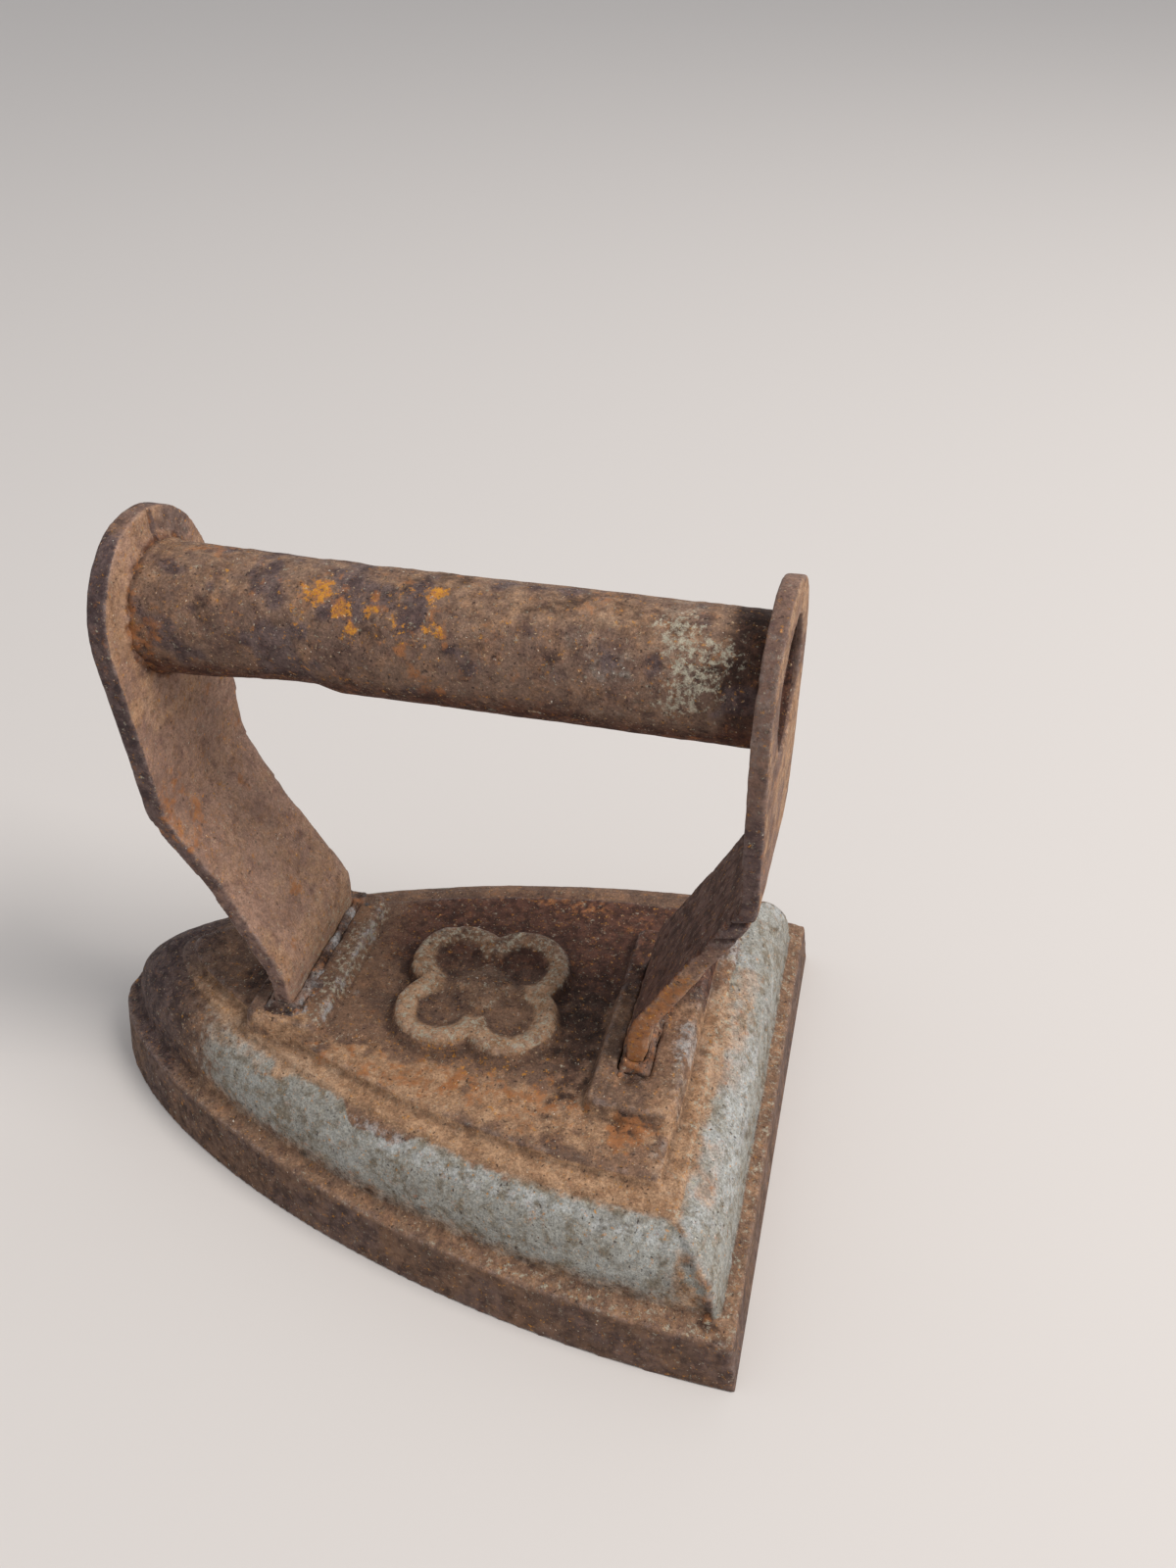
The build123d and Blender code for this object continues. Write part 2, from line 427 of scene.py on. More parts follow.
def rusty_iron(name, base, patch, grit=1.0):
    """Weathered iron: mottled rust under painted layers, then wear and grit."""
    s = Shader(name)
    cloud = s.noise(9.0, 4.0, 0.6)
    mottle = s.noise(2.6, 5.0, 0.65, 0.4)
    ragged = s.noise(1.9, 6.0, 0.7)
    flaky = s.noise(1.1, 5.0, 0.75)
    streaky = s.noise(1.0, 5.0, 0.75)
    grain = s.noise(0.45, 4.0, 0.72)
    dust = s.noise(0.20, 2.0, 0.6)

    colour = s.blend(*base, cloud, 0.38, 0.62)
    colour = s.blend(colour, srgb(146, 106, 76), s.noise(5.5, 6.0, 0.7), 0.50, 0.66, 0.45)
    colour = s.blend(colour, patch, mottle, 0.52, 0.68, 0.55)

    # the painted layers, from the lowest to the highest; grey has brown bleeding through
    grey = s.blend(srgb(144, 141, 133), srgb(118, 108, 93), mottle, 0.44, 0.64)
    grey = s.blend(grey, srgb(162, 162, 157), cloud, 0.48, 0.68, 0.5)
    tan = s.blend(srgb(174, 137, 105), srgb(146, 110, 81), mottle, 0.40, 0.60)
    dark = s.blend(srgb(66, 42, 31), srgb(42, 26, 20), mottle, 0.40, 0.62)
    slate = s.blend(srgb(92, 75, 73), srgb(66, 52, 53), mottle, 0.40, 0.62)
    russet = s.blend(srgb(90, 54, 40), srgb(62, 36, 27), mottle, 0.38, 0.62)
    orange = s.blend(srgb(172, 114, 70), srgb(136, 84, 48), grain, 0.40, 0.60)
    yellow = s.blend(srgb(204, 140, 44), srgb(160, 100, 42), grain, 0.42, 0.60)
    ash = s.blend(srgb(188, 180, 158), srgb(124, 112, 98), grain, 0.42, 0.62)
    layers = (
        # mask, tint, noise that breaks its rim, how far, softness of the rim, strength
        ("pale", grey, ragged, 1.25, 0.20, 1.0),
        ("frost_and_highlight", srgb(180, 182, 182), ragged, 2.2, 0.30, 0.65),
        ("tan", tan, ragged, 1.6, 0.42, 0.85),
        ("dark", dark, mottle, 1.0, 0.48, 0.92),
        ("slate", slate, ragged, 1.2, 0.35, 0.85),
        ("russet", russet, ragged, 1.3, 0.35, 0.9),
        ("orange", orange, ragged, 2.6, 0.30, 0.85),
        ("yellow", yellow, streaky, 3.4, 0.20, 1.0),
        ("ash", ash, flaky, 3.2, 0.22, 0.9),
    )
    for mask_name, tint, breakup, spread, edge, strength in layers:
        share = s.blot(mask_name, breakup, spread, edge)
        colour = s.mix(colour, tint, s.math("MULTIPLY", share, strength))

    # hollows are darkened: dark rust together with painted shade
    colour = s.mix(colour, srgb(50, 30, 22), s.math("MULTIPLY", s.mask("hollow"), 0.5))
    # edges are rubbed bright, and a painted highlight lies on them
    rubbed_and_glint = s.math("MULTIPLY", s.mask("wear_and_glint"), s.step(s.noise(1.6, 4.0, 0.7), 0.40, 0.62))
    colour = s.mix(colour, srgb(158, 142, 136), s.math("MULTIPLY", rubbed_and_glint, 0.5))

    # fine grit: dark pinholes, light and rust-coloured crumbs, then pale specks of dust
    pinholes = s.step(s.noise(0.80, 2.0, 0.55), 0.64, 0.72)
    crumbs = s.step(s.noise(0.62, 2.0, 0.5, 0.3), 0.67, 0.74)
    rust_crumbs = s.step(s.noise(0.95, 3.0, 0.6, 0.5), 0.66, 0.74)
    gritty = s.math("MULTIPLY_ADD", s.mask("calm"), -0.75 * grit, grit)
    for tint, where, strength in (
        (srgb(44, 29, 24), pinholes, 0.75),
        (srgb(190, 160, 126), crumbs, 0.62),
        (srgb(156, 92, 54), rust_crumbs, 0.26),
    ):
        share = s.math("MULTIPLY", where, s.math("MULTIPLY", gritty, strength))
        colour = s.mix(colour, tint, share)
    specks = s.step(s.noise(0.50, 1.0, 0.5), 0.73, 0.78)
    dusty = s.step(s.noise(8.0, 2.0, 0.5), 0.44, 0.60)
    share = s.math("MULTIPLY", specks, s.math("MULTIPLY", dusty, 0.8))
    colour = s.mix(colour, srgb(206, 196, 182), share)

    # a grainy tone, fainter where the surface is calm
    keep = s.math("MULTIPLY_ADD", s.mask("calm"), -0.75, 1.0)
    tone = s.step(grain, 0.30, 0.70, -0.34 * grit, 0.32 * grit)
    colour = s.shade(colour, s.math("MULTIPLY_ADD", tone, keep, 1.0))
    colour = s.shade(colour, s.step(s.noise(1.4, 3.0, 0.6), 0.34, 0.66, 0.87, 1.12))
    colour = s.shade(colour, s.step(dust, 0.30, 0.70, 0.90, 1.08))
    s.put(s.bsdf.inputs["Base Color"], colour)

    roughness = s.step(mottle, 0.35, 0.65, 0.66, 0.88)
    roughness = s.math("MULTIPLY_ADD", rubbed_and_glint, -0.34, roughness)
    s.put(s.bsdf.inputs["Roughness"], roughness)
    s.put(s.bsdf.inputs["Metallic"], s.math("MULTIPLY", rubbed_and_glint, 0.35))
    s.bsdf.inputs["Specular IOR Level"].default_value = 0.30

    height = s.math("MULTIPLY_ADD", grain, 0.55, s.math("MULTIPLY", dust, 0.18))
    height = s.math("MULTIPLY_ADD", ragged, 0.75, height)
    height = s.math("MULTIPLY_ADD", crumbs, 0.22, height)
    height = s.math("MULTIPLY_ADD", pinholes, -0.30, height)
    bump = s.tree.nodes.new("ShaderNodeBump")
    s.put(bump.inputs["Strength"], s.math("MULTIPLY", keep, min(1.0, 0.9 * grit)))
    bump.inputs["Distance"].default_value = 0.30 * MM
    s.put(bump.inputs["Height"], height)
    s.put(s.bsdf.inputs["Normal"], bump.outputs["Normal"])
    return s.material


# =============================== sole casting ===============================
def ornament_place(points):
    """Depth inside the four-lobed outline, and the two offsets from its centre."""
    x, y = points[:, 0], points[:, 1]
    cos, sin = math.cos(ornament_turn), math.sin(ornament_turn)
    dx = (x - ornament_x) * cos + y * sin
    dy = y * cos - (x - ornament_x) * sin
    lobes = lobe_radius - np.hypot(np.abs(dx) - lobe_offset, np.abs(dy) - lobe_offset)
    inward = np.maximum(lobes, lobe_link * lobe_offset - np.hypot(dx, dy))
    return inward + 0.35 * lumps(points, 6, 47, 2), dx, dy


def shape_ornament(points, edges):
    """Rounds the four-lobed rim into a worn crest with a raised floor and a plain stud."""
    z = points[:, 2]
    inward, dx, dy = ornament_place(points)
    region = ease(inward, -2.2, -1.2) * (z > deck_z - 0.6)
    soft = relaxed(points, edges, fillet_rounds)
    points = points + (soft - points) * region[:, None]
    crest = ornament_rise * ease(inward, -0.9, 1.1) - ornament_sink * ease(inward, 2.4, 6.2)
    stud = stud_rise * ease(np.abs(dx) + np.abs(dy), 9.5, 3.4)
    points[:, 2] += region * (deck_z + crest + stud - points[:, 2])
    return points


def ornament_crest(points):
    """1 on the rim of the ornament and on its stud, 0 elsewhere."""
    inside = np.hypot(points[:, 0] - ornament_x, points[:, 1]) < ornament_reach
    return ease(points[:, 2], deck_z + 1.5, deck_z + 2.3) * inside


def near_heel(x):
    """1 along the heel shoulder, 0 past it."""
    return ease(x, heel_x + 24, heel_x + 20)


def shape_body():
    """The casting: filled corners, the ornament, a sand-mould skin, ridges and pits."""
    mesh = voxel_mesh(
        "sole_casting", [cad_mesh("body_casting")], body_voxel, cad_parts["body_casting"]
    )
    points, edges = mesh_arrays(mesh)
    points = relaxed(points, edges, 1)
    set_points(mesh, points)
    # the border between the shoulder and the deck keeps its sharp steps
    off_border = 1 - ease(points[:, 2], 22.5, 24.5) * ease(points[:, 2], deck_z + 0.5, deck_z)
    points = filleted(points, edges, normals_of(mesh), off_border)
    points = shape_ornament(points, edges)
    set_points(mesh, points)
    normals = normals_of(mesh)
    x, y, z = points.T

    # cast-iron skin: long waves, sand-mould roughness, and chewed edges
    above = ease(z, 0.2, 1.6)
    top = ease(z, ledge_z - 1.0, ledge_z + 1.0)
    rough = 0.07 * lumps(points, 16, 3, 2)
    rough += (0.02 + 0.045 * top) * lumps(points, 4.5, 11, 2)
    rough += (0.015 + 0.05 * top) * lumps(points, 1.7, 23, 2)
    wear_and_glint = edge_masks(mesh)[0]
    rough -= 0.30 * wear_and_glint * ease(lumps(points, 3.2, 31, 2), -0.1, 0.7)
    # the ridges where the heel shoulder meets the side shoulders
    mitre = half_width - np.abs(y) - (x - heel_x)
    ridge = np.exp(-(mitre**2)) * near_heel(x) * top
    ridge *= ease(z, shoulder_top_z + 0.2, shoulder_top_z - 0.8)
    rough += 0.85 * ridge * ease(z, ledge_z + 1, ledge_z + 4)
    points = points + normals * (rough * above)[:, None]

    upper = np.flatnonzero((z > ledge_z - 0.5) & (normals[:, 2] > 0.1))
    points = scattered_pits(points, normals, 5, upper, 80, 1.4)
    for centre, radius, depth in eaten_places:
        points = pit(points, normals, centre, radius, depth)
    points[:, 2] = np.maximum(points[:, 2], 0.0)
    set_points(mesh, points)
    return mesh, points


def body_zones(points, normals):
    """The casting's zones, each from 0 to 1 at every point, and noise that breaks them up."""
    x, y, z = points.T
    on = SimpleNamespace(points=points, x=x, y=y, z=z)
    on.drift = lumps(points, 5.0, 41, 3)
    on.fine_drift = lumps(points, 2.2, 43, 3)
    # edge band, ledge, shoulder, border and deck, from the lowest to the highest
    on.band = ease(z, ledge_z - 0.2, ledge_z - 1.2)
    on.ledge = ease(normals[:, 2], 0.5, 0.9) * (
        ease(z, ledge_z - 1.2, ledge_z - 0.4) * ease(z, ledge_z + 1.8, ledge_z + 0.8)
    )
    on.shoulder = ease(z, ledge_z + 0.1, ledge_z + 0.9)
    on.border = ease(z, shoulder_top_z - 0.4, shoulder_top_z + 0.4)
    on.border = on.border * ease(z, deck_z - 0.3, deck_z - 1.1)
    on.deck = ease(z, deck_z - 0.5, deck_z - 0.1)
    on.rear_boss = ease(z, deck_z + 1.2, deck_z + 2.2) * ease(np.abs(x - rear_boss_x), 10, 8)

    # the heel shoulder, and the near corner where it meets the side shoulder
    past_mitre = (x - heel_x) - (half_width - np.abs(y))  # above 0 on the side shoulder
    on.heel_side = ease(-past_mitre, -0.6, 0.6) * near_heel(x)
    mitre_line = ease(np.abs(past_mitre - 1.4 - 1.4 * on.drift), 2.8, 0.8) * near_heel(x)
    on.corner_rust = mitre_line * ease(z, 24.5, 17.5) * (z > ledge_z - 0.5) * (y > 0)
    on.corner = ease(past_mitre, 10, 3) * ease(past_mitre, -1, 0.5) * (y > 0)
    on.corner = on.corner * on.shoulder * ease(z, 25.5, 22.0)

    depth, dx, dy = ornament_place(points)
    on.crest = ornament_crest(points) * (1 - 0.65 * ease(np.abs(dx) + np.abs(dy), 11, 8))
    on.ornament_foot = ease(depth, -3.6, -1.2) * ease(depth, 0.8, -0.2) * on.deck
    on.ornament_floor = ease(depth, 2.0, 3.5) * (1 - on.crest)
    return on


def body_pale(on):
    """Bare grey oxide on the shoulders."""
    # brown from the deck creeps over the side shoulder's top, most of all at the middle
    creep = deck_z - 1.3 - 2.4 * ease(np.abs(on.x + 1), 11, 3) - 0.9 * ease(on.x, -2, -12)
    creep += 0.8 * on.drift - 1.8 * ease(on.y, 4, -4)
    side = on.shoulder * ease(on.z, creep + 0.5, creep - 0.7)
    side *= 0.22 + 0.72 * ease(on.x, 52, 26)
    side *= 1 - 0.46 * ease(on.z, 18.0, 12.5)
    heel = on.shoulder * ease(on.z, shoulder_top_z + 0.6, shoulder_top_z - 0.4)
    pale = side * (1 - on.heel_side) + heel * on.heel_side
    above = ease(on.z, shoulder_top_z - 0.4, shoulder_top_z + 0.6)
    pale += 0.40 * on.heel_side * above * ease(on.drift, -0.6, 0.4)
    return pale + 0.10 * on.fine_drift + 0.30 * on.crest * ease(on.y, -10, 6)


def body_frost_and_highlight(on):
    """The palest grey: a painted highlight along the top of the near side shoulder, the heel
    shoulder's palest patches, the front boss and the rim's crest.
    """
    points, x, y, z = on.points, on.x, on.y, on.z
    # a painted highlight along the upper band of the near side shoulder, fading out towards the
    # toe
    frost_and_highlight = 0.40 * ease(z, 21.8, 24.0) * ease(z, 25.9, 25.2) * ease(x, 16, -4)
    frost_and_highlight *= (y > 0) * (1 - on.heel_side)
    patchy = ease(lumps(points, 8, 45, 2), -0.4, 0.5)
    frost_and_highlight += 0.50 * on.heel_side * on.shoulder * ease(z, 16, 19) * patchy
    frost_and_highlight += 0.50 * spot(points, (15.0, -2, front_boss_z), (3.0, 24, 3), 0.7, 46)
    return frost_and_highlight + 0.30 * on.crest * ease(y, -12, 6)


def body_tan(on):
    """Light brown: the border, the near side of the deck and the foot of the shoulder."""
    points, x, y, z = on.points, on.x, on.y, on.z
    tan = 0.32 * on.ledge + on.border * ease(y, -20, 0) * (1 - 0.6 * ease(x, 44, 60))
    tan += 1.05 * spot(points, (2, 25.0, deck_z), (25, 6.0, 4), 0.5, 51)
    tan += 0.70 * spot(points, (-30, 27, deck_z - 0.5), (26, 7, 4), 0.5, 52)
    tan += on.shoulder * ease(z, 18.0, 13.0) * (1 - on.heel_side) * (0.38 + 0.15 * on.drift)
    patchy = ease(lumps(points, 9, 53, 2), -0.2, 0.6)
    tan += 0.52 * on.heel_side * ease(z, 21.0, 24.5) * patchy
    tan += 0.35 * spot(points, (-59.5, 12, deck_z), (5, 32, 5), 0.4, 54)
    tan += 0.45 * spot(points, (30, 22, 27), (16, 7, 4), 0.4, 55)
    tan += 0.85 * spot(points, (24, 19.0, front_boss_z - 1), (7, 4, 4), 0.5, 56)
    tan += 0.75 * on.corner * ease(on.fine_drift, -0.5, 0.5)
    return tan + on.crest * (0.35 + 0.65 * ease(y, -16, 4)) + 0.25 * on.rear_boss


def body_dark(on):
    """Dark brown: the band, the toe and the far half of the deck, with painted shade and shadow
    under the tube and at the feet of raised parts.
    """
    points, x, y, z = on.points, on.x, on.y, on.z
    raised = z > ledge_z
    dark = on.band * (0.46 + 0.14 * ease(x, -10, 60))
    dark += 0.85 * ease(x, 38, 62) * raised
    patchy = ease(on.fine_drift, 0.0, 0.7)
    dark += 0.55 * on.shoulder * ease(z, 19.0, 13.0) * (1 - on.heel_side) * patchy
    # painted shade round the foot of the ornament's rim, deeper on the far side, and a little
    # dark on its floor
    dark += 0.60 * on.ornament_foot * (1 - 0.5 * ease(y, -4, 8)) + 0.12 * on.ornament_floor
    dark += 0.60 * spot(points, (-47, 25.5, deck_z), (4.5, 3, 3), 0.8, 64)
    # painted shadow on the toe side of the front upright's foot
    dark += 0.80 * spot(points, (33, 4, deck_z + 2), (6, 15, 4), 0.5, 65)
    dark += 0.60 * spot(points, (-47, 17.0, rear_boss_z), (3.0, 2.5, 3), 0.7, 66)
    # dark rust with painted shade under the tube over the far half of the deck
    dark += 0.72 * on.deck * ease(y, 8, -16) * ease(x, 16, 0) * (1 - 0.7 * on.crest)
    # painted shadow with dark rust along the toe side of the rear boss
    dark += 0.95 * spot(points, (-34.5, 2, deck_z), (4.5, 24, 2.5), 0.5, 61)
    dark += 0.90 * on.corner_rust * ease(on.drift, -0.9, 0.3)
    dark += 0.50 * on.corner * ease(on.drift, -0.3, 0.6)
    dark += 0.35 * spot(points, (26, 14, deck_z), (9, 8, 3), 0.5, 62)
    return dark + 0.30 * ease(on.drift, 0.2, 0.9) * raised


def body_orange(on):
    """Bright rust: flecks along the near side of the deck, its far edge and the heel corner."""
    points = on.points
    orange = 0.75 * spot(points, (-48.5, 26.5, deck_z), (6, 4, 3), 0.8, 71)
    orange += 0.45 * spot(points, (-2, 24.5, deck_z), (16, 3.5, 3), 0.9, 72)
    orange += 0.40 * spot(points, (-17, -31, deck_z), (14, 3.0, 3), 0.7, 73)
    orange += 0.40 * spot(points, (-26, 24, deck_z), (14, 5, 2), 0.9, 74)
    orange += 0.22 * on.deck * ease(on.drift, 0.1, 0.9)
    return orange + 0.45 * on.corner_rust * ease(on.fine_drift, 0.0, 0.6)


def body_russet(on):
    """Red rust on the far half of the deck."""
    far_deck = on.deck * ease(on.y, 4, -14) * ease(on.x, 22, 8) * (1 - 0.6 * on.crest)
    return 0.72 * far_deck + 0.45 * spot(on.points, (-17, -31, deck_z), (20, 6, 3), 0.6, 75)


def body_ash(on):
    """Whitish crust at the front boss, on the heel's border, the ledge and the crest."""
    ash = 0.35 * spot(on.points, (17.8, 0, front_boss_z - 1.0), (3.6, 22, 3.5), 0.5, 81)
    ash += 0.30 * spot(on.points, (heel_x + 14, 0, 26.5), (2.5, 42, 2), 0.7, 82)
    return ash + 0.22 * on.ledge * ease(on.x, 0, -40) + 0.34 * on.crest


def body_slate(on):
    """Blackish grey on parts of the band and at the toe."""
    patchy = ease(lumps(on.points, 8, 44, 2), -0.6, 0.4)
    return 0.45 * on.band * patchy + 0.6 * ease(on.x, 38, 58) * (on.z > ledge_z - 1)


def make_body():
    mesh, points = shape_body()
    on = body_zones(points, normals_of(mesh))
    wear_and_glint, hollow = edge_masks(mesh)
    masks = {
        "pale": body_pale(on),
        "frost_and_highlight": body_frost_and_highlight(on),
        "tan": body_tan(on),
        "dark": body_dark(on),
        "slate": body_slate(on),
        "russet": body_russet(on),
        "orange": body_orange(on),
        "yellow": 0.22 * spot(points, (ornament_x, 18, deck_z), (12, 2.5, 2), 0.9, 85),
        "ash": body_ash(on),
        "calm": on.band,
        "wear_and_glint": 0.6 * wear_and_glint,
        "hollow": hollow,
    }
    material = rusty_iron("cast_sole", (srgb(122, 92, 72), srgb(98, 74, 60)), srgb(88, 66, 60))
    return finish_piece("sole_casting", mesh, masks, material, ["body_casting"])


# =============================== uprights ===============================
def strap_surface(node, name, seed, skew=0.0, swell=0.0, outward=-1, far_swell=0.0):
    """The upright's mesh with hammered faces and worn edges.

    skew turns the eye, swell moves the outer face of the lower leg out, and far_swell widens
    the leg on its far side; outward is the sign of X on the outer face.
    """
    mesh = voxel_mesh(name, [cad_mesh(node)], strap_voxel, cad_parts[node])
    points, edges = mesh_arrays(mesh)
    points = relaxed(points, edges, 2)
    points[:, 0] += skew * points[:, 1] * ease(points[:, 2], 66, 86)
    leg = ease(points[:, 2], 80, 66) * ease(points[:, 2], front_boss_z, front_boss_z + 4)
    outer_face = np.maximum(outward * normals_of(mesh)[:, 0], 0)
    points[:, 0] += outward * swell * outer_face * leg
    far_edge = np.maximum(-normals_of(mesh)[:, 1], 0) * ease(points[:, 2], 98, 84)
    points[:, 1] -= far_swell * far_edge * ease(points[:, 2], front_boss_z, front_boss_z + 8)
    set_points(mesh, points)
    normals = normals_of(mesh)
    wear_and_glint = edge_masks(mesh)[0]
    rough = 0.11 * lumps(points, 15, seed, 2)
    rough += 0.05 * lumps(points, 4.2, seed + 5, 2)
    rough += 0.035 * lumps(points, 1.6, seed + 9, 2)
    rough -= 0.20 * wear_and_glint * ease(lumps(points, 5.0, seed + 13, 2), -0.2, 0.7)
    points = points + normals * rough[:, None]
    points = scattered_pits(points, normals, seed, len(points), 60, 1.5)
    set_points(mesh, points)
    return mesh, points, normals


def make_rear_upright():
    mesh, points, normals = strap_surface(
        "rear_upright", "rear_upright_strap", 101, skew=rear_eye_skew, swell=rear_leg_swell
    )
    for z in notch_heights:
        points = groove(points, normals, (-70, 14.0, z), (-58, 14.0, z - 3), 1.0, notch_depth)
    set_points(mesh, points)
    normals = normals_of(mesh)
    z = points[:, 2]
    wear_and_glint, hollow = edge_masks(mesh)
    near_edge = ease(normals[:, 1], 0.25, 0.6)
    inner = ease(normals[:, 0], 0.2, 0.6)
    outer = ease(-normals[:, 0], 0.2, 0.6)
    low = ease(z, 66, 54)
    bend = ease(z, 62, 70) * ease(z, 88, 80)
    tan_patches = ease(lumps(points, 7, 111, 2), -0.7, 0.3)
    orange_patches = ease(lumps(points, 4, 112, 2), 0.1, 0.8)
    masks = {
        "calm": 0.6 * near_edge * ease(z, 60, 76) + 1.0 * inner,
        "slate": near_edge * ease(z, 60, 70) * (0.75 - 0.40 * ease(z, 92, 106)),
        "pale": 0.34 * near_edge * ease(z, 92, 108),
        "tan": 0.60 * near_edge * low + 0.75 * outer * tan_patches,
        "dark": 0.40 * inner * ease(z, 86, 76) + 0.35 * near_edge * bend,
        "russet": 0.95 * inner * ease(z, 90, 80) + 0.20 * near_edge,
        "orange": 0.66 * near_edge * ease(z, 62, 50) + 0.30 * outer * orange_patches,
        "yellow": 0.14 * near_edge * low,
        "wear_and_glint": wear_and_glint * (0.6 + 0.4 * near_edge),
        "hollow": hollow,
    }
    colours = srgb(126, 98, 84), srgb(106, 80, 68)
    material = rusty_iron("forged_rear", colours, srgb(84, 62, 62))
    return finish_piece(
        "rear_upright_strap", mesh, masks, material, ["rear_upright"]
    )


def make_front_upright():
    mesh, points, normals = strap_surface(
        "front_upright",
        "front_upright_strap",
        201,
        swell=front_leg_swell,
        outward=1,
        far_swell=front_leg_far_swell,
    )
    # the crack in the eye, crumbling rust round the tube, and the eye's raised crown
    top_z = front_high[2]
    crack_start = (front_eye_face_x, -1.5, top_z)
    crack_end = (front_eye_face_x, -1.0, top_z - 6.2)
    points = groove(points, normals, crack_start, crack_end, 0.6, crack_depth)
    from_axis = np.hypot(points[:, 1], points[:, 2] - tube_axis_z)
    joint = ease(np.abs(from_axis - tube_radius - 0.7), 1.7, 0.4) * (normals[:, 0] < -0.5)
    points = points + normals * (joint * (0.25 + 0.45 * lumps(points, 1.6, 216, 2)))[:, None]
    points[:, 2] += front_crown_rise * ease(points[:, 2], top_z - 10, top_z - 1)
    set_points(mesh, points)
    normals = normals_of(mesh)
    z = points[:, 2]
    wear_and_glint, hollow = edge_masks(mesh)
    near_edge = ease(normals[:, 1], 0.25, 0.6)
    inner = ease(-normals[:, 0], 0.2, 0.6)
    crown = spot(points, (front_eye_face_x + 1, -8, top_z - 4), (4, 8, 6), 0.4, 211)

    tan = 0.28 * ease(z, 84, 100) + 0.25 * ease(z, 56, 40)
    tan += 0.32 * ease(lumps(points, 6, 212, 2), -0.2, 0.5)
    dark = 0.62 * near_edge * ease(lumps(points, 6, 213, 2), -0.8, 0.2)
    dark += 0.45 * ease(inner, 0.3, 0.0) * ease(z, 60, 110)
    slate = near_edge * (0.30 + 0.55 * ease(z, 62, 78)) + 0.30 * ease(inner, 0.5, 0.1)
    orange = 0.30 * inner * ease(from_axis, tube_radius + 3.0, tube_radius + 0.8)
    orange += 0.50 * inner * ease(lumps(points, 5, 214, 3), 0.3, 0.8)
    orange += 0.45 * spot(points, (front_eye_face_x - 3, 14, 78), (6, 4, 9), 0.5, 218)
    masks = {
        "calm": 0.4 * near_edge + 0.3 * inner,
        "slate": slate + 0.75 * crown,
        "pale": 0.30 * crown,
        "tan": inner * tan,
        "dark": dark,
        "russet": joint * (0.55 + 0.35 * lumps(points, 1.8, 217, 2)) + 0.25 * near_edge,
        "orange": orange,
        "yellow": 0.18 * inner * ease(lumps(points, 4, 215, 3), 0.4, 0.9),
        "ash": 0.25 * inner * ease(z, 44, 34),
        "wear_and_glint": wear_and_glint * (0.55 + 0.45 * near_edge),
        "hollow": hollow * 0.7,
    }
    colours = srgb(154, 121, 102), srgb(132, 102, 87)
    material = rusty_iron("forged_front", colours, srgb(106, 78, 72))
    return finish_piece(
        "front_upright_strap", mesh, masks, material, ["front_upright"]
    )


# =============================== handle tube ===============================
def tube_points():
    """The rolled sheet's outer skin and then its inner skin, bruised and rusted."""
    half_gap = seam_gap / 2 / tube_radius
    turns = np.linspace(-math.pi / 2 + half_gap, 1.5 * math.pi - half_gap, tube_steps_round)
    along = np.linspace(tube_low[0], tube_high[0], tube_steps_along)
    station, turn = np.meshgrid(along, turns, indexing="ij")
    skin = np.stack([station, tube_radius * np.cos(turn), tube_radius * np.sin(turn)], axis=-1)
    skin = skin.reshape(-1, 3)

    # the bruise low on the near side, the flared front end and the sheet's slight waves
    facing = (skin[:, 1:] / tube_radius) @ np.array([0.61, -0.79])
    dent = dent_depth * ease(skin[:, 0], 36, 15) * ease(skin[:, 0], 6, 12)
    dent *= ease(facing, 0.60, 0.98)
    dent -= front_flare * ease(skin[:, 0], 8, tube_high[0])
    dent += 0.10 * lumps(skin, 26, 301, 2)

    # rust roughness and pits on the outside, and crumbling rust at the front eye
    outside = 0.10 * lumps(skin, 5, 303, 2) + 0.06 * lumps(skin, 2.0, 305, 2)
    outside += 0.04 * lumps(skin, 1.1, 307, 1)
    outside *= 0.5 + 0.9 * ease(lumps(skin, 12, 309, 2), -0.2, 0.6)
    picks = np.random.default_rng(31)
    for _ in range(70):
        centre = skin[picks.integers(len(skin))]
        away = np.linalg.norm(skin - centre, axis=1)
        radius = picks.uniform(0.7, 1.9)
        outside -= picks.uniform(0.10, 0.32) * ease(away, radius, radius * 0.2)
    collar = ease(np.abs(skin[:, 0] - front_eye_face_x + 0.4), 1.3, 0.3)
    outside += collar * (0.25 + 0.45 * lumps(skin, 1.6, 311, 2))

    radial = np.stack([np.zeros(len(skin)), skin[:, 1], skin[:, 2]], axis=1) / tube_radius
    outer = skin + radial * (outside - dent)[:, None]
    inner = skin - radial * (tube_wall + dent + 0.06 * lumps(skin, 3, 313, 2))[:, None]
    outer[:, 2] += tube_axis_z
    inner[:, 2] += tube_axis_z
    return np.vstack([outer, inner])


def tube_faces():
    """Faces of both skins, and the walls along the seam and at the two ends."""
    count = tube_steps_along * tube_steps_round
    index = np.arange(count).reshape(tube_steps_along, tube_steps_round)
    faces = []
    for i in range(tube_steps_along - 1):
        for j in range(tube_steps_round - 1):
            a, b, c, d = index[i, j], index[i + 1, j], index[i + 1, j + 1], index[i, j + 1]
            faces.append((a, b, c, d))
            faces.append((d + count, c + count, b + count, a + count))
        for j in (0, tube_steps_round - 1):
            a, b = index[i, j], index[i + 1, j]
            wall = (a, a + count, b + count, b)
            faces.append(wall if j == 0 else wall[::-1])
    for i in (0, tube_steps_along - 1):
        for j in range(tube_steps_round - 1):
            a, d = index[i, j], index[i, j + 1]
            wall = (a, d, d + count, a + count)
            faces.append(wall if i == 0 else wall[::-1])
    return faces


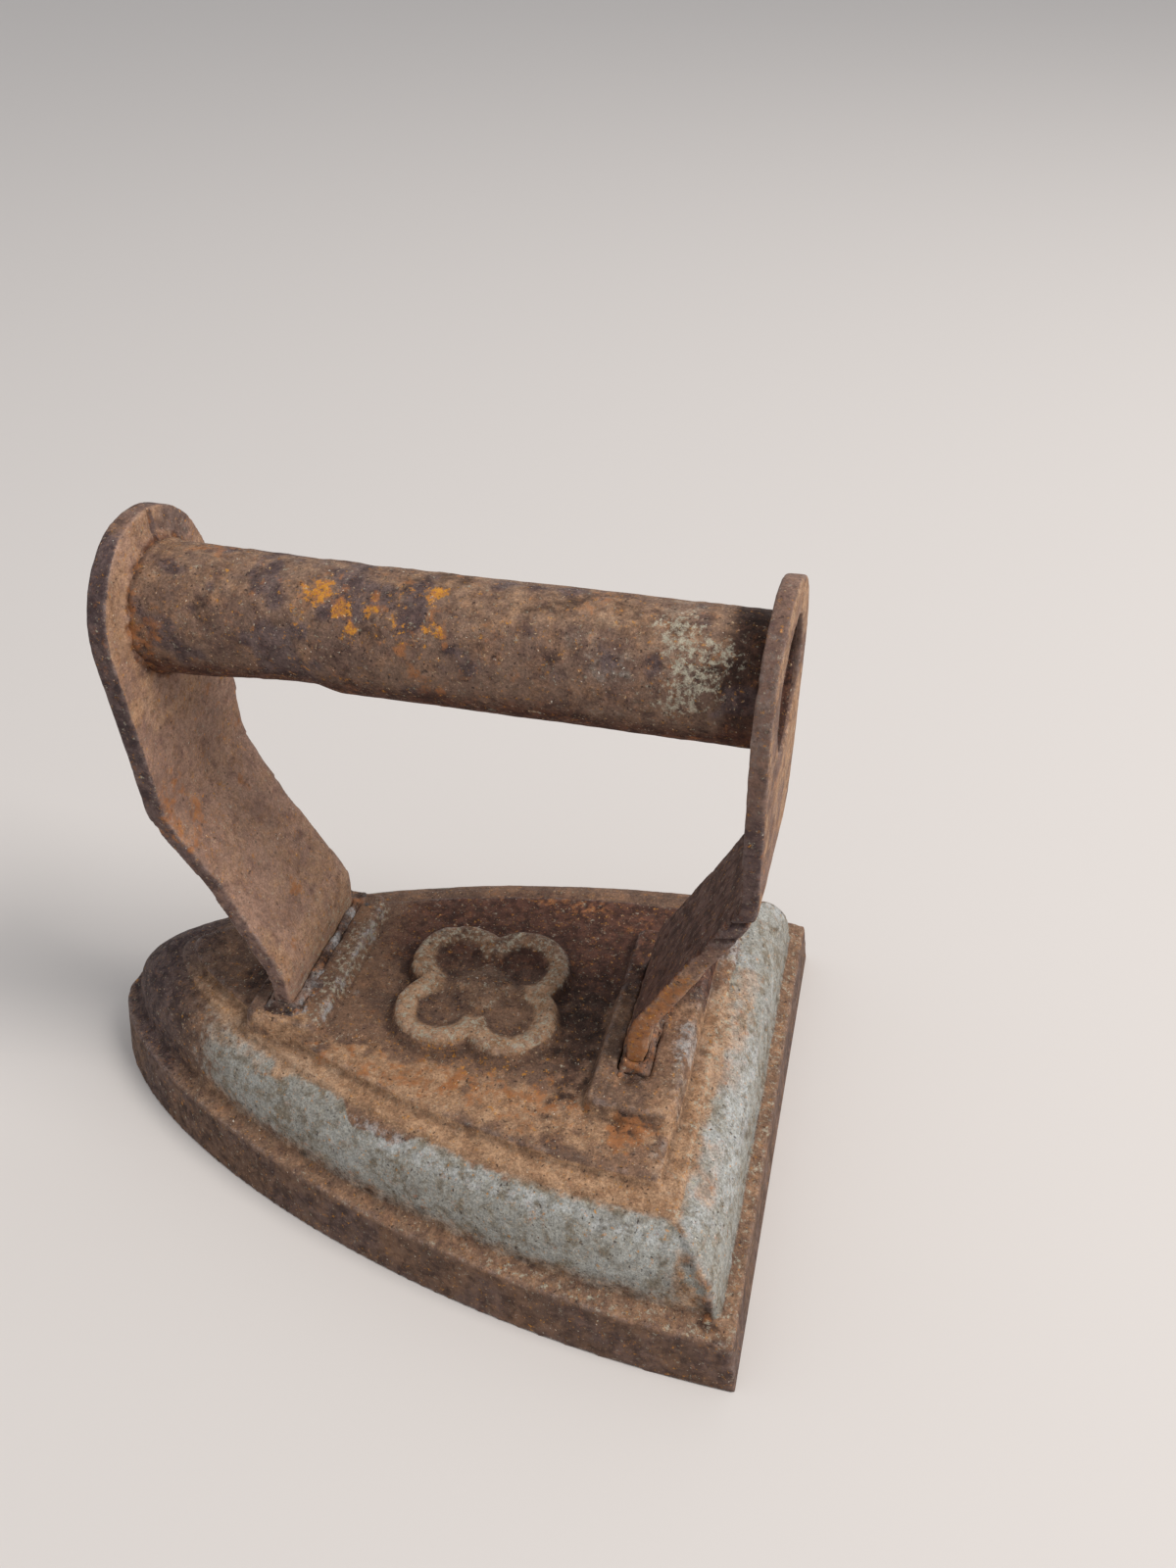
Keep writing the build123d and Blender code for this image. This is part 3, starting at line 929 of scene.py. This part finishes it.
def make_tube():
    points = tube_points()
    mesh = bpy.data.meshes.new("handle_tube_skin")
    mesh.from_pydata([tuple(p) for p in points * MM], [], tube_faces())
    mesh.update()

    x, z = points[:, 0], points[:, 2]
    wear_and_glint, hollow = edge_masks(mesh)
    up = (z - tube_axis_z) / tube_radius
    drift = lumps(points, 6, 321, 3)
    front_middle = spot(points, (-2, 7, tube_axis_z + 8), (26, 9, 8), 0.5, 322)
    crust = spot(points, (-54, 8, tube_axis_z + 7), (6.5, 7, 8), 0.7, 324)
    end_ring = ease(x, -57.0, -60.5)
    bright = np.zeros(len(points))
    for along_x, degrees, reach in bright_flecks:
        fleck_y = tube_radius * math.cos(math.radians(degrees))
        fleck_z = tube_axis_z + tube_radius * math.sin(math.radians(degrees))
        centre = (along_x, fleck_y, fleck_z)
        bright += spot(points, centre, (reach, reach, reach), 0.7, 340 + degrees)

    # painted shade: the tube is darker towards its underside
    dark = 0.16 + 0.45 * ease(up, -0.1, -0.8) + 0.75 * end_ring * ease(drift, -0.9, 0.3)
    dark += 0.40 * ease(drift, 0.2, 0.8) + 0.12 * crust
    dark[len(points) // 2 :] += 0.8  # the inner skin
    russet = 0.85 * ease(up, 0.0, -0.8) + 0.40 * end_ring
    russet += 0.25 * ease(lumps(points, 5, 333, 3), 0.2, 0.8)
    orange = 0.60 * front_middle * ease(lumps(points, 2.6, 323, 3), 0.25, 0.75)
    orange += 0.40 * ease(lumps(points, 7, 325, 3), 0.2, 0.8)
    orange += 0.25 * ease(np.abs(x - front_eye_face_x), 2.0, 0.8) + 0.5 * bright
    yellow = 0.62 * bright
    yellow += 0.20 * front_middle * ease(lumps(points, 4.5, 326, 3), 0.0, 0.6)
    masks = {
        "slate": 0.85 * ease(lumps(points, 6.5, 331, 3), 0.0, 0.6),
        "pale": 0.12 + 0.25 * ease(lumps(points, 8, 332, 2), 0.1, 0.7) * ease(x, 0, -20),
        "tan": 0.40 * ease(up, 0.3, 0.98) + 0.22 * drift,
        "dark": dark,
        "russet": russet,
        "orange": orange,
        "yellow": yellow,
        "ash": 0.47 * crust,
        "wear_and_glint": wear_and_glint * 0.5,
        "hollow": hollow,
    }
    colours = srgb(120, 94, 78), srgb(104, 80, 68)
    material = rusty_iron("rolled_sheet", colours, srgb(84, 60, 56))
    return finish_piece(
        "handle_tube_skin", mesh, masks, material, ["handle_tube"]
    )


# =============================== caulking ===============================
def bead_mesh(name, low, high, top_z, spread, count, seed):
    """Flattened lumps scattered round the foot, sunk into the top of the boss."""
    picks = np.random.default_rng(seed)
    beads = bmesh.new()
    middle = (low + high) / 2
    half = (high - low) / 2
    for _ in range(count):
        side = picks.integers(4)
        u = picks.uniform(-1, 1)
        out = picks.uniform(-0.6, spread)
        if side < 2:
            x = middle[0] + (1 if side else -1) * (half[0] + out)
            y = middle[1] + u * half[1]
        else:
            x = middle[0] + u * half[0]
            y = middle[1] + (1 if side == 2 else -1) * (half[1] + 0.7 * out)
        radius = picks.uniform(0.6, 1.3)
        flat = picks.uniform(0.35, 0.6)
        place = Matrix.Translation(Vector((x, y, top_z - 0.25 * radius)) * MM)
        length = radius * picks.uniform(1, 1.6)
        size = Matrix.Diagonal((radius * MM, length * MM, radius * flat * MM, 1))
        bmesh.ops.create_icosphere(beads, subdivisions=2, radius=1.0, matrix=place @ size)
    mesh = bpy.data.meshes.new(name + "_beads")
    beads.to_mesh(mesh)
    beads.free()
    return mesh


def make_crust(node, name, top_z, spread, count, seed, masks_for):
    """The crumbling fill round a foot, with count beads on top of its CAD node."""
    low, high = node_box(node)
    beads = bead_mesh(name, low, high, top_z, spread, count, seed)
    mesh = voxel_mesh(name, [cad_mesh(node), beads], crust_voxel)
    points, edges = mesh_arrays(mesh)
    points = relaxed(points, edges, 9)
    set_points(mesh, points)
    normals = normals_of(mesh)
    rough = 0.32 * lumps(points, 2.4, seed + 1, 2) + 0.18 * lumps(points, 1.2, seed + 2, 2)
    points = points + normals * rough[:, None]
    set_points(mesh, points)
    wear_and_glint, hollow = edge_masks(mesh)
    masks = {"wear_and_glint": wear_and_glint * 0.4, "hollow": hollow, **masks_for(points)}
    colours = srgb(126, 104, 92), srgb(104, 82, 72)
    material = rusty_iron(name + "_crust", colours, srgb(78, 58, 54), grit=1.3)
    return finish_piece(name, mesh, masks, material, [node])


def rear_crust_masks(points):
    drift = lumps(points, 3, 401, 3)
    return {
        "tan": 0.30 + 0.4 * drift,
        "dark": 0.48 + 0.5 * lumps(points, 4, 402, 2),
        "russet": 0.35 + 0.4 * drift,
        "orange": 0.28 + 0.4 * lumps(points, 3, 403, 2),
    }


def front_crust_masks(points):
    drift = lumps(points, 3, 411, 3)
    heelward = ease(points[:, 0], 26, 20)
    return {
        "pale": 0.25 + 0.4 * drift,
        "dark": 0.40 + 0.5 * lumps(points, 3, 412, 2),
        "russet": 0.25 + 0.3 * lumps(points, 4, 415, 2),
        "orange": 0.15 + 0.4 * lumps(points, 3, 413, 2),
        "frost_and_highlight": 0.30 + 0.20 * heelward + 0.5 * lumps(points, 2.2, 414, 3),
    }


# =============================== stage, in metres ===============================
floor_half = 3.0
room_colour = (0.93, 0.96, 1.0, 1.0)
room_strength = 0.64
window_place = (-1.15, 0.15, 1.35)
window_target = (0.0, 0.0, 0.04)
window_size = 0.85
window_power = 26.0
window_colour = (1.0, 0.985, 0.96)
camera_sensor = 36.0
camera_lens = 28.72
camera_place = (-0.07954, 0.17003, 0.21934)
camera_right = (-0.96882, -0.24758, -0.0096)
camera_up = (0.14158, -0.58498, 0.79859)
camera_back = (-0.20333, 0.77233, 0.6018)


def make_floor():
    mesh = bpy.data.meshes.new("floor")
    half = floor_half
    corners = [(-half, -half, 0), (half, -half, 0), (half, half, 0), (-half, half, 0)]
    mesh.from_pydata(corners, [], [(0, 1, 2, 3)])
    floor = new_object("floor", mesh)
    s = Shader("pale_floor")
    s.bsdf.inputs["Base Color"].default_value = srgb(207, 200, 195)
    s.bsdf.inputs["Roughness"].default_value = 0.9
    s.bsdf.inputs["Specular IOR Level"].default_value = 0.2
    mesh.materials.append(s.material)


def make_light():
    """An even pale room, and one soft window high on the heel's side."""
    world = bpy.data.worlds.new("soft_room")
    bpy.context.scene.world = world
    world.use_nodes = True
    background = world.node_tree.nodes["Background"]
    background.inputs["Color"].default_value = room_colour
    background.inputs["Strength"].default_value = room_strength

    light = bpy.data.lights.new("window", "AREA")
    light.shape = "DISK"
    light.size = window_size
    light.energy = window_power
    light.color = window_colour
    lamp = new_object("window", light)
    lamp.location = window_place
    aim = Vector(window_target) - Vector(window_place)
    lamp.rotation_euler = aim.to_track_quat("-Z", "Y").to_euler()


def make_camera():
    camera = bpy.data.cameras.new("camera")
    camera.sensor_width = camera_sensor
    camera.lens = camera_lens
    camera.clip_start = 0.01
    holder = new_object("camera", camera)
    turn = Matrix((camera_right, camera_up, camera_back)).transposed().to_4x4()
    holder.matrix_world = Matrix.Translation(camera_place) @ turn
    bpy.context.scene.camera = holder


make_camera()
make_light()
make_floor()
bpy.context.scene.view_settings.view_transform = "Standard"

make_body()
make_rear_upright()
make_front_upright()
make_tube()
make_crust("rear_foot_caulking", "rear_foot_fill", rear_boss_z, 2.2, 14, 421, rear_crust_masks)
make_crust(
    "front_foot_caulking", "front_foot_fill", front_boss_z, 2.4, 60, 431, front_crust_masks
)

bpy.context.view_layer.update()
